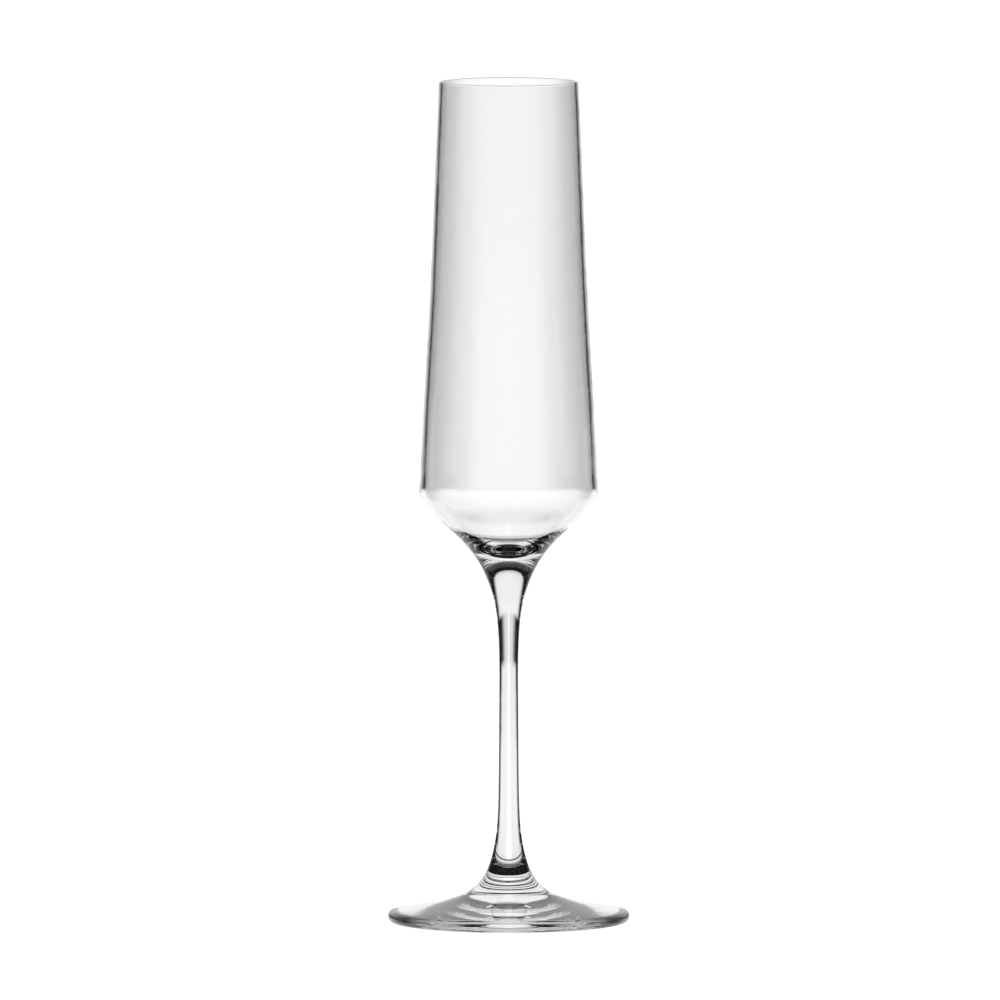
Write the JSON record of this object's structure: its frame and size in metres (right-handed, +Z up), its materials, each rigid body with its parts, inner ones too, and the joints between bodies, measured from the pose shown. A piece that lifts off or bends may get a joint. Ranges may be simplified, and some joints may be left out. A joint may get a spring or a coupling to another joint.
{
  "type": "champagne flute",
  "caption": "Tall stemmed glass flute with a tapering bowl, a steep cone below a rounded knee, a slim drawn stem and a round foot.",
  "frame": {"origin": "on the axis of the glass, in the plane that the foot stands on", "axes": "+Z up along the axis of the glass, from the foot to the rim; the glass is round, so X and Y are free"},
  "size_m": [0.0692, 0.0692, 0.24],
  "materials": {
    "clear_glass": "fire-polished, clear and colourless"
  },
  "bodies": {
    "root": {"bowl": "clear_glass", "stem": "clear_glass", "foot": "clear_glass"}
  },
  "joints": []
}
